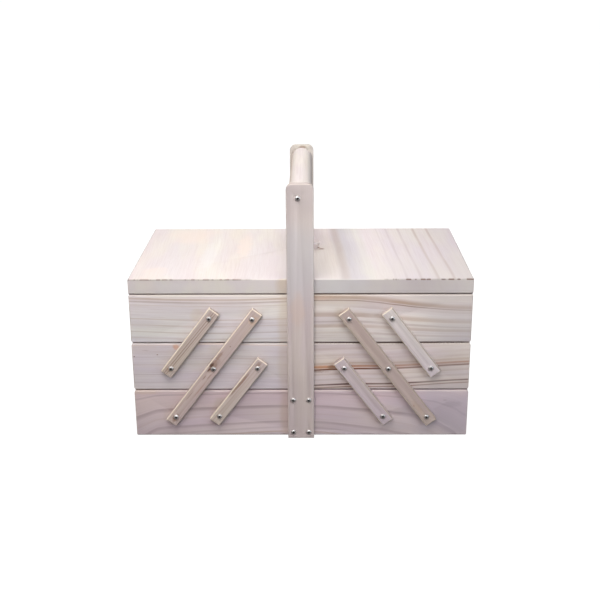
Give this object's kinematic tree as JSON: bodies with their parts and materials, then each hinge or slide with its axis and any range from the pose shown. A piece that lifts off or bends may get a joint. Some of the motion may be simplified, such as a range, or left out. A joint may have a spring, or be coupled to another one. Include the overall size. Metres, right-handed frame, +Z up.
{
  "type": "sewing box with trays",
  "caption": "Wooden sewing box on a flat base, with trays that swing out to both sides on wooden links, hinged lids and a round carrying rail between two uprights.",
  "frame": {"origin": "middle of the base's underside, where the box stands", "axes": "+Z up, +X to the right along the box's width, +Y to the rear, so the front face looks along -Y"},
  "size_m": [0.3274, 0.1976, 0.25],
  "materials": {
    "board_pine": "smooth raw planed pine with growth rings, matt",
    "lid_pine": "smooth raw planed pine, very pale, matt",
    "upright_wood": "raw planed pine, straight grain, matt",
    "link_wood": "raw planed pine strip, pinkish, matt",
    "rail_wood": "raw turned softwood dowel, matt",
    "knob_wood": "raw turned hardwood, matt",
    "divider_wood": "raw thin board, matt",
    "plywood": "raw thin plywood, matt",
    "screw_steel": "bright zinc-plated steel, satin",
    "hinge_steel": "nickel-plated sheet steel, satin"
  },
  "bodies": {
    "base": {"base_front_board": "board_pine", "base_rear_board": "board_pine", "base_left_board": "board_pine", "base_right_board": "board_pine", "base_bottom_panel": "plywood", "base_pivot_screws": "screw_steel", "front_upright": "upright_wood", "rear_upright": "upright_wood", "handle_rail": "rail_wood", "rail_screws": "screw_steel", "upright_screws": "screw_steel"},
    "left_front_long_link": {"left_front_long_link": "link_wood"},
    "left_rear_long_link": {"left_rear_long_link": "link_wood"},
    "left_front_lower_short_link": {"left_front_lower_short_link": "link_wood"},
    "left_rear_lower_short_link": {"left_rear_lower_short_link": "link_wood"},
    "left_middle_tray": {"left_middle_tray_front_board": "board_pine", "left_middle_tray_rear_board": "board_pine", "left_middle_tray_outer_board": "board_pine", "left_middle_tray_inner_board": "board_pine", "left_middle_tray_bottom_panel": "plywood", "left_middle_tray_dividers": "divider_wood", "left_middle_tray_pivot_screws": "screw_steel"},
    "left_top_tray": {"left_top_tray_front_board": "board_pine", "left_top_tray_rear_board": "board_pine", "left_top_tray_outer_board": "board_pine", "left_top_tray_inner_board": "board_pine", "left_top_tray_bottom_panel": "plywood", "left_top_tray_dividers": "divider_wood", "left_top_tray_pivot_screws": "screw_steel", "left_hinge_tray_leaves": "hinge_steel"},
    "left_front_upper_short_link": {"left_front_upper_short_link": "link_wood"},
    "left_rear_upper_short_link": {"left_rear_upper_short_link": "link_wood"},
    "left_lid": {"left_lid": "lid_pine", "left_lid_knob": "knob_wood", "left_hinge_lid_leaves": "hinge_steel"},
    "right_front_long_link": {"right_front_long_link": "link_wood"},
    "right_rear_long_link": {"right_rear_long_link": "link_wood"},
    "right_front_lower_short_link": {"right_front_lower_short_link": "link_wood"},
    "right_rear_lower_short_link": {"right_rear_lower_short_link": "link_wood"},
    "right_middle_tray": {"right_middle_tray_front_board": "board_pine", "right_middle_tray_rear_board": "board_pine", "right_middle_tray_outer_board": "board_pine", "right_middle_tray_inner_board": "board_pine", "right_middle_tray_bottom_panel": "plywood", "right_middle_tray_dividers": "divider_wood", "right_middle_tray_pivot_screws": "screw_steel"},
    "right_top_tray": {"right_top_tray_front_board": "board_pine", "right_top_tray_rear_board": "board_pine", "right_top_tray_outer_board": "board_pine", "right_top_tray_inner_board": "board_pine", "right_top_tray_bottom_panel": "plywood", "right_top_tray_dividers": "divider_wood", "right_top_tray_pivot_screws": "screw_steel", "right_hinge_tray_leaves": "hinge_steel"},
    "right_front_upper_short_link": {"right_front_upper_short_link": "link_wood"},
    "right_rear_upper_short_link": {"right_rear_upper_short_link": "link_wood"},
    "right_lid": {"right_lid": "lid_pine", "right_lid_knob": "knob_wood", "right_hinge_lid_leaves": "hinge_steel"}
  },
  "joints": [
    {"name": "left_side_open", "type": "hinge", "parent": "base", "child": "left_front_long_link", "pos_m": [-0.12, -0.0935, 0.0225], "axis": [0, -1, 0], "range_deg": [0, 73.9]},
    {"name": "left_rear_long_link_turn", "type": "hinge", "parent": "base", "child": "left_rear_long_link", "pos_m": [-0.12, 0.0935, 0.0225], "axis": [0, -1, 0], "range_deg": [0, 73.9]},
    {"name": "left_front_lower_link_turn", "type": "hinge", "parent": "base", "child": "left_front_lower_short_link", "pos_m": [-0.0783, -0.0935, 0.0231], "axis": [0, -1, 0], "range_deg": [0, 73.9]},
    {"name": "left_rear_lower_link_turn", "type": "hinge", "parent": "base", "child": "left_rear_lower_short_link", "pos_m": [-0.0783, 0.0935, 0.0231], "axis": [0, -1, 0], "range_deg": [0, 73.9]},
    {"name": "left_middle_tray_level", "type": "hinge", "parent": "left_front_long_link", "child": "left_middle_tray", "pos_m": [-0.0825, -0.0935, 0.0723], "axis": [0, -1, 0], "range_deg": [-73.9, 0]},
    {"name": "left_top_tray_level", "type": "hinge", "parent": "left_front_long_link", "child": "left_top_tray", "pos_m": [-0.045, -0.0935, 0.1221], "axis": [0, -1, 0], "range_deg": [-73.9, 0]},
    {"name": "left_front_upper_link_turn", "type": "hinge", "parent": "left_middle_tray", "child": "left_front_upper_short_link", "pos_m": [-0.1225, -0.0935, 0.0729], "axis": [0, -1, 0], "range_deg": [0, 73.9]},
    {"name": "left_rear_upper_link_turn", "type": "hinge", "parent": "left_middle_tray", "child": "left_rear_upper_short_link", "pos_m": [-0.1225, 0.0935, 0.0729], "axis": [0, -1, 0], "range_deg": [0, 73.9]},
    {"name": "left_lid_open", "type": "hinge", "parent": "left_top_tray", "child": "left_lid", "pos_m": [-0.1619, 0, 0.1441], "axis": [0, -1, 0], "range_deg": [0, 105]},
    {"name": "right_side_open", "type": "hinge", "parent": "base", "child": "right_front_long_link", "pos_m": [0.12, -0.0935, 0.0225], "axis": [0, 1, 0], "range_deg": [0, 73.9]},
    {"name": "right_rear_long_link_turn", "type": "hinge", "parent": "base", "child": "right_rear_long_link", "pos_m": [0.12, 0.0935, 0.0225], "axis": [0, 1, 0], "range_deg": [0, 73.9]},
    {"name": "right_front_lower_link_turn", "type": "hinge", "parent": "base", "child": "right_front_lower_short_link", "pos_m": [0.0783, -0.0935, 0.0231], "axis": [0, 1, 0], "range_deg": [0, 73.9]},
    {"name": "right_rear_lower_link_turn", "type": "hinge", "parent": "base", "child": "right_rear_lower_short_link", "pos_m": [0.0783, 0.0935, 0.0231], "axis": [0, 1, 0], "range_deg": [0, 73.9]},
    {"name": "right_middle_tray_level", "type": "hinge", "parent": "right_front_long_link", "child": "right_middle_tray", "pos_m": [0.0825, -0.0935, 0.0723], "axis": [0, 1, 0], "range_deg": [-73.9, 0]},
    {"name": "right_top_tray_level", "type": "hinge", "parent": "right_front_long_link", "child": "right_top_tray", "pos_m": [0.045, -0.0935, 0.1221], "axis": [0, 1, 0], "range_deg": [-73.9, 0]},
    {"name": "right_front_upper_link_turn", "type": "hinge", "parent": "right_middle_tray", "child": "right_front_upper_short_link", "pos_m": [0.1225, -0.0935, 0.0729], "axis": [0, 1, 0], "range_deg": [0, 73.9]},
    {"name": "right_rear_upper_link_turn", "type": "hinge", "parent": "right_middle_tray", "child": "right_rear_upper_short_link", "pos_m": [0.1225, 0.0935, 0.0729], "axis": [0, 1, 0], "range_deg": [0, 73.9]},
    {"name": "right_lid_open", "type": "hinge", "parent": "right_top_tray", "child": "right_lid", "pos_m": [0.1619, 0, 0.1441], "axis": [0, 1, 0], "range_deg": [0, 105]}
  ],
  "couplings": [
    {"joint": "left_rear_long_link_turn", "follows": "left_side_open", "ratio": 1},
    {"joint": "left_front_lower_link_turn", "follows": "left_side_open", "ratio": 1},
    {"joint": "left_rear_lower_link_turn", "follows": "left_side_open", "ratio": 1},
    {"joint": "left_middle_tray_level", "follows": "left_side_open", "ratio": -1},
    {"joint": "left_top_tray_level", "follows": "left_side_open", "ratio": -1},
    {"joint": "left_front_upper_link_turn", "follows": "left_side_open", "ratio": 1},
    {"joint": "left_rear_upper_link_turn", "follows": "left_side_open", "ratio": 1},
    {"joint": "right_rear_long_link_turn", "follows": "right_side_open", "ratio": 1},
    {"joint": "right_front_lower_link_turn", "follows": "right_side_open", "ratio": 1},
    {"joint": "right_rear_lower_link_turn", "follows": "right_side_open", "ratio": 1},
    {"joint": "right_middle_tray_level", "follows": "right_side_open", "ratio": -1},
    {"joint": "right_top_tray_level", "follows": "right_side_open", "ratio": -1},
    {"joint": "right_front_upper_link_turn", "follows": "right_side_open", "ratio": 1},
    {"joint": "right_rear_upper_link_turn", "follows": "right_side_open", "ratio": 1}
  ]
}
